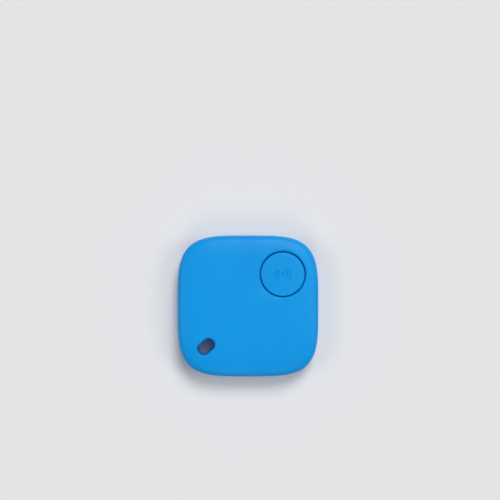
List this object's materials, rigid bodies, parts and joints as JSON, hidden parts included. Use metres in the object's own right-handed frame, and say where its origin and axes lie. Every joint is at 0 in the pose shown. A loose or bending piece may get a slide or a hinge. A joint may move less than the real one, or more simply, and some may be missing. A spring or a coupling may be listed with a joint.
{
  "type": "wireless tracker tag",
  "caption": "Square, softly rounded wireless tracker tag with a round button in its face, a lanyard slot in one corner and a coin cell, sounder and circuit board inside.",
  "frame": {"origin": "centre of the flat rear face, which the tag lies on", "axes": "+Z out of the front face, +Y to the top edge, +X to the right edge as the front face is seen"},
  "size_m": [0.038, 0.038, 0.008],
  "materials": {
    "shell_blue": "satin, fine moulded texture",
    "board_green": "solder mask over glass laminate",
    "chip_black": "moulded epoxy",
    "ferrite": "matt",
    "ceramic_tan": "satin",
    "ceramic_grey": "silvered",
    "led_white": "matt",
    "led_clear": "clear",
    "nickel": "nickel plated",
    "steel": "brushed",
    "brass": "rolled",
    "gold": "gold plated",
    "switch_black": "moulded",
    "gasket_grey": "matt",
    "pellet_dark": "pressed powder",
    "adhesive": "matt",
    "wire_red": "insulated",
    "wire_black": "insulated"
  },
  "bodies": {
    "base": {"antenna_trace": "gold", "battery_clip": "steel", "capacitor_1": "ceramic_tan", "capacitor_2": "ceramic_tan", "capacitor_3": "ceramic_tan", "capacitor_4": "ceramic_tan", "capacitor_5": "ceramic_tan", "capacitor_6": "ceramic_tan", "cell_can": "steel", "cell_cap": "nickel", "cell_gasket": "gasket_grey", "cell_pellet": "pellet_dark", "circuit_board": "board_green", "crystal_fast": "nickel", "crystal_slow": "nickel", "driver_transistor": "chip_black", "inductor": "ferrite", "led_base": "led_white", "led_lens": "led_clear", "negative_contact": "gold", "piezo_adhesive": "adhesive", "piezo_ceramic": "ceramic_grey", "piezo_plate": "brass", "piezo_wire_black": "wire_black", "piezo_wire_red": "wire_red", "radio_chip": "chip_black", "rear_cover": "shell_blue", "resistor_1": "chip_black", "resistor_2": "chip_black", "resistor_3": "chip_black", "switch_base": "switch_black", "switch_dome": "steel", "switch_frame": "nickel", "switch_terminal_1": "nickel", "switch_terminal_2": "nickel", "switch_terminal_3": "nickel", "switch_terminal_4": "nickel"},
    "front_half": {"front_cover": "shell_blue"},
    "button": {"find_button": "shell_blue"},
    "plunger": {"switch_plunger": "switch_black"}
  },
  "joints": [
    {"name": "front_cover_lift", "type": "slide", "parent": "base", "child": "front_half", "axis": [0, 0, 1], "range_m": [0, 0.012]},
    {"name": "button_press", "type": "slide", "parent": "front_half", "child": "button", "axis": [0, 0, -1], "range_m": [0, 0.00025], "stiffness_N_per_m": 400, "springref_m": -0.0005},
    {"name": "plunger_press", "type": "slide", "parent": "base", "child": "plunger", "axis": [0, 0, -1], "range_m": [0, 0.00025], "deforming": ["switch_dome"]}
  ],
  "couplings": [
    {"joint": "plunger_press", "follows": "button_press", "ratio": 1}
  ]
}
